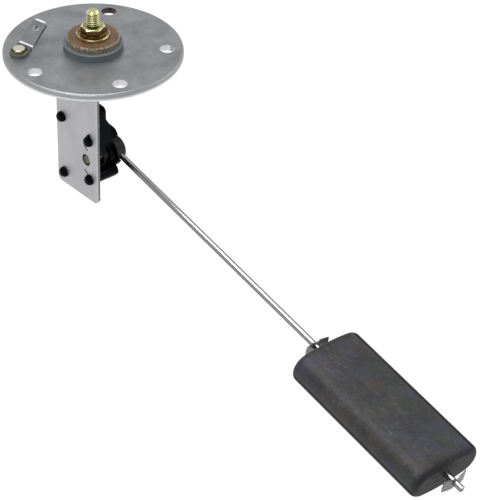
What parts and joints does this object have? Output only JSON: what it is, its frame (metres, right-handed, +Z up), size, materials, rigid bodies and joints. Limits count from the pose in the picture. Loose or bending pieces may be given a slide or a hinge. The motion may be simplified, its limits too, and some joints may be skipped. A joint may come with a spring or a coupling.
{
  "type": "fuel level sender",
  "caption": "Tank-flange fuel level sender: insulated terminal on top, bracket with a moulded resistor housing below, and a swinging rod that carries a flat oval float.",
  "frame": {"origin": "centre of the round flange's underside, on the terminal stud's axis", "axes": "+Z up along the terminal stud, out of the tank; +X the way the float arm points; +Y from the bracket plate to the resistor housing"},
  "size_m": [0.2305, 0.0664, 0.0979],
  "materials": {
    "flange_aluminium": "brushed, dull, with a bright rolled edge",
    "bracket_aluminium": "matte, as sheared",
    "tab_metal": "dull tin plate",
    "screw_metal": "bright plate",
    "brass": "worn yellow",
    "rubber": "slate grey, matte",
    "phenolic": "brown laminate with a speckled cut edge",
    "black_moulding": "black, slight sheen",
    "card_board": "tan board",
    "resistance_wire": "fine close winding",
    "spring_metal": "pale spring bronze, plated",
    "rod_steel": "polished",
    "float_foam": "charcoal closed-cell foam, mottled"
  },
  "bodies": {
    "fixed_assembly": {"flange_plate": "flange_aluminium", "bracket_plate": "bracket_aluminium", "stud_seal": "rubber", "insulating_washer": "phenolic", "terminal_washer": "brass", "lower_insulator": "phenolic", "terminal_nut": "brass", "terminal_stud": "brass", "ground_terminal": "tab_metal", "ground_screw": "screw_metal", "lead_strip": "brass", "resistor_housing": "black_moulding", "resistor_card": "card_board", "resistance_winding": "resistance_wire", "ground_spring": "spring_metal"},
    "float_arm": {"pivot_pin": "brass", "retaining_clip": "rod_steel", "wiper_contact": "spring_metal", "rotor_hub": "black_moulding", "float_rod": "rod_steel", "float": "float_foam", "inner_push_nut": "rod_steel", "outer_push_nut": "rod_steel"}
  },
  "joints": [
    {"name": "arm_swing", "type": "hinge", "parent": "fixed_assembly", "child": "float_arm", "pos_m": [0.0053, 0, -0.0412], "axis": [0, -1, 0], "range_deg": [-35.1, 54.9]}
  ]
}
